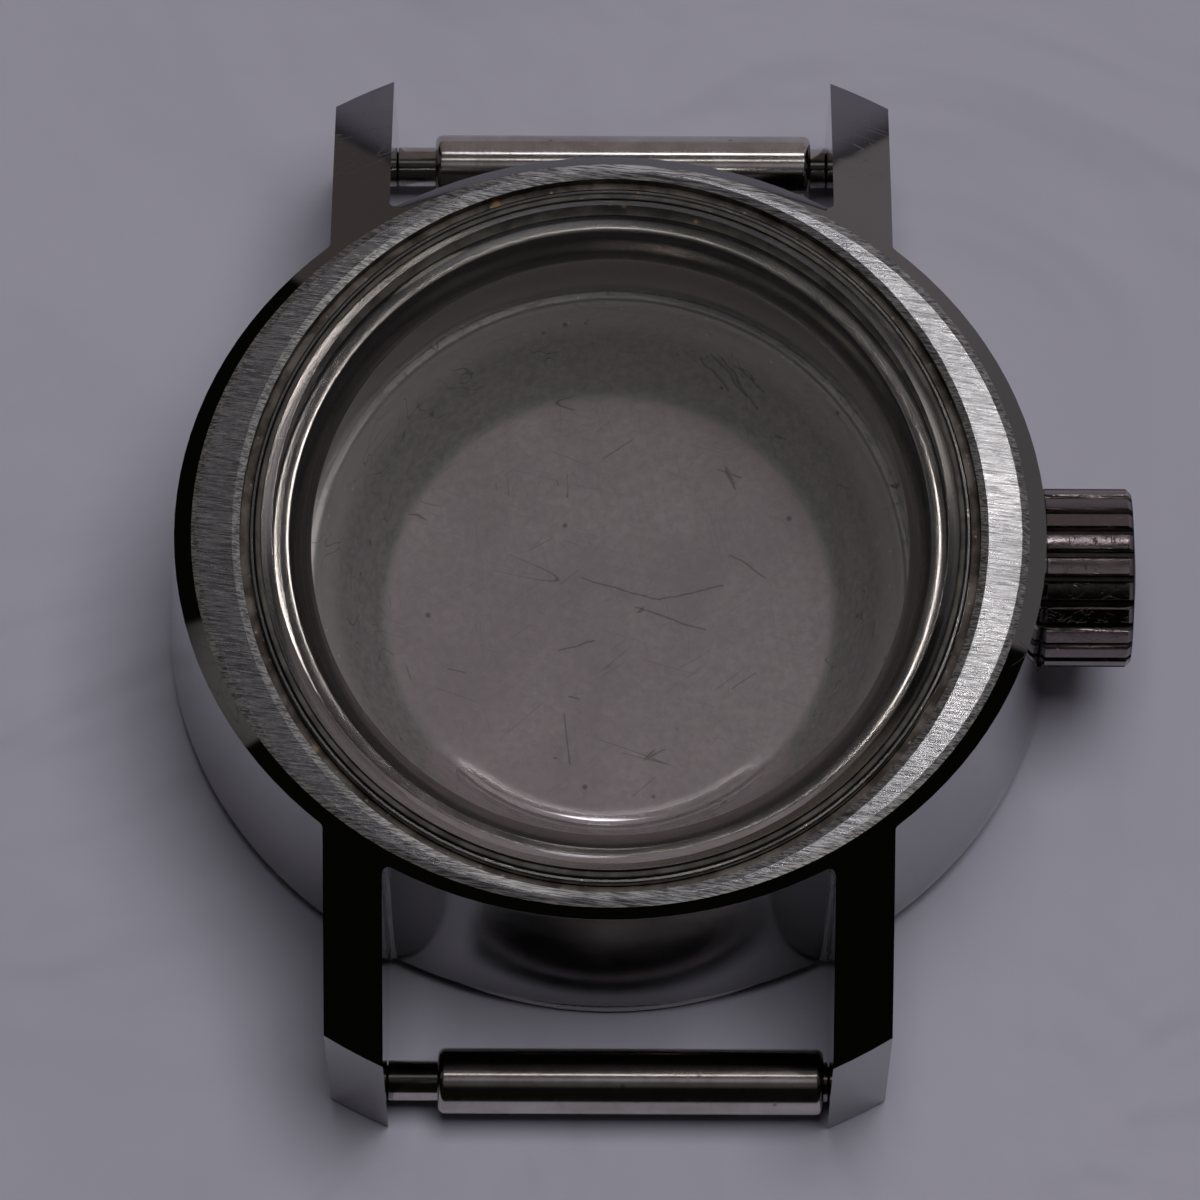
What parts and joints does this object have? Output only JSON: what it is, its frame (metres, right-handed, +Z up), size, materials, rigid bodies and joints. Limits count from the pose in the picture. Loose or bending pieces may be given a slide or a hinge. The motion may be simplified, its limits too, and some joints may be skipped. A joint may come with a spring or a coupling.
{
  "type": "empty watch case",
  "caption": "Small oval steel watch case without a movement, with flat crystal, fluted crown, press-on back and two spring bars between its lugs.",
  "frame": {"origin": "centre of the case back's flat outer face, on which the case rests", "axes": "+X to the crown at three o'clock, +Y to twelve o'clock, +Z up through the crystal"},
  "size_m": [0.0264, 0.0282, 0.0104],
  "materials": {
    "steel": "brushed ring, polished slope and flanks",
    "bright_steel": "turned and polished",
    "back_steel": "fine matt inside, worn",
    "crown_plate": "warm plating, polished",
    "bar_steel": "drawn and polished",
    "spring_steel": "drawn wire",
    "crystal": "clear, polished",
    "gasket": "moulded, smoky",
    "rubber": "matt black"
  },
  "bodies": {
    "case": {"mid_case": "steel", "crystal": "crystal", "crystal_gasket": "gasket", "crystal_grip_ring": "bright_steel", "reflector_ring": "bright_steel", "crown_tube": "bright_steel"},
    "back": {"case_back": "back_steel", "case_back_gasket": "rubber"},
    "crown_slider": {"crown_gasket": "rubber"},
    "crown": {"crown_shell": "crown_plate", "crown_core": "bright_steel", "crown_washer": "bright_steel"},
    "upper_bar": {"upper_bar_tube": "bar_steel", "upper_bar_spring": "spring_steel"},
    "upper_bar_left": {"upper_bar_left_tip": "bar_steel"},
    "upper_bar_right": {"upper_bar_right_tip": "bar_steel"},
    "lower_bar": {"lower_bar_tube": "bar_steel", "lower_bar_spring": "spring_steel"},
    "lower_bar_left": {"lower_bar_left_tip": "bar_steel"},
    "lower_bar_right": {"lower_bar_right_tip": "bar_steel"}
  },
  "joints": [
    {"name": "back_release", "type": "slide", "parent": "case", "child": "back", "axis": [0, 0, -1], "range_m": [0, 0.008]},
    {"name": "crown_pull", "type": "slide", "parent": "case", "child": "crown_slider", "axis": [1, 0, 0], "range_m": [0, 0.0008]},
    {"name": "crown_turn", "type": "hinge", "parent": "crown_slider", "child": "crown", "pos_m": [0.012, 0, 0.00554], "axis": [1, 0, 0], "continuous": true},
    {"name": "upper_bar_spin", "type": "hinge", "parent": "case", "child": "upper_bar", "pos_m": [0, 0.0131, 0.00125], "axis": [1, 0, 0], "continuous": true},
    {"name": "upper_bar_left_push", "type": "slide", "parent": "upper_bar", "child": "upper_bar_left", "axis": [1, 0, 0], "range_m": [0, 0.0008], "stiffness_N_per_m": 1000, "springref_m": -0.001, "deforming": ["upper_bar_spring"]},
    {"name": "upper_bar_right_push", "type": "slide", "parent": "upper_bar", "child": "upper_bar_right", "axis": [-1, 0, 0], "range_m": [0, 0.0008], "stiffness_N_per_m": 1000, "springref_m": -0.001, "deforming": ["upper_bar_spring"]},
    {"name": "lower_bar_spin", "type": "hinge", "parent": "case", "child": "lower_bar", "pos_m": [0, -0.0131, 0.00125], "axis": [1, 0, 0], "continuous": true},
    {"name": "lower_bar_left_push", "type": "slide", "parent": "lower_bar", "child": "lower_bar_left", "axis": [1, 0, 0], "range_m": [0, 0.0008], "stiffness_N_per_m": 1000, "springref_m": -0.001, "deforming": ["lower_bar_spring"]},
    {"name": "lower_bar_right_push", "type": "slide", "parent": "lower_bar", "child": "lower_bar_right", "axis": [-1, 0, 0], "range_m": [0, 0.0008], "stiffness_N_per_m": 1000, "springref_m": -0.001, "deforming": ["lower_bar_spring"]}
  ]
}
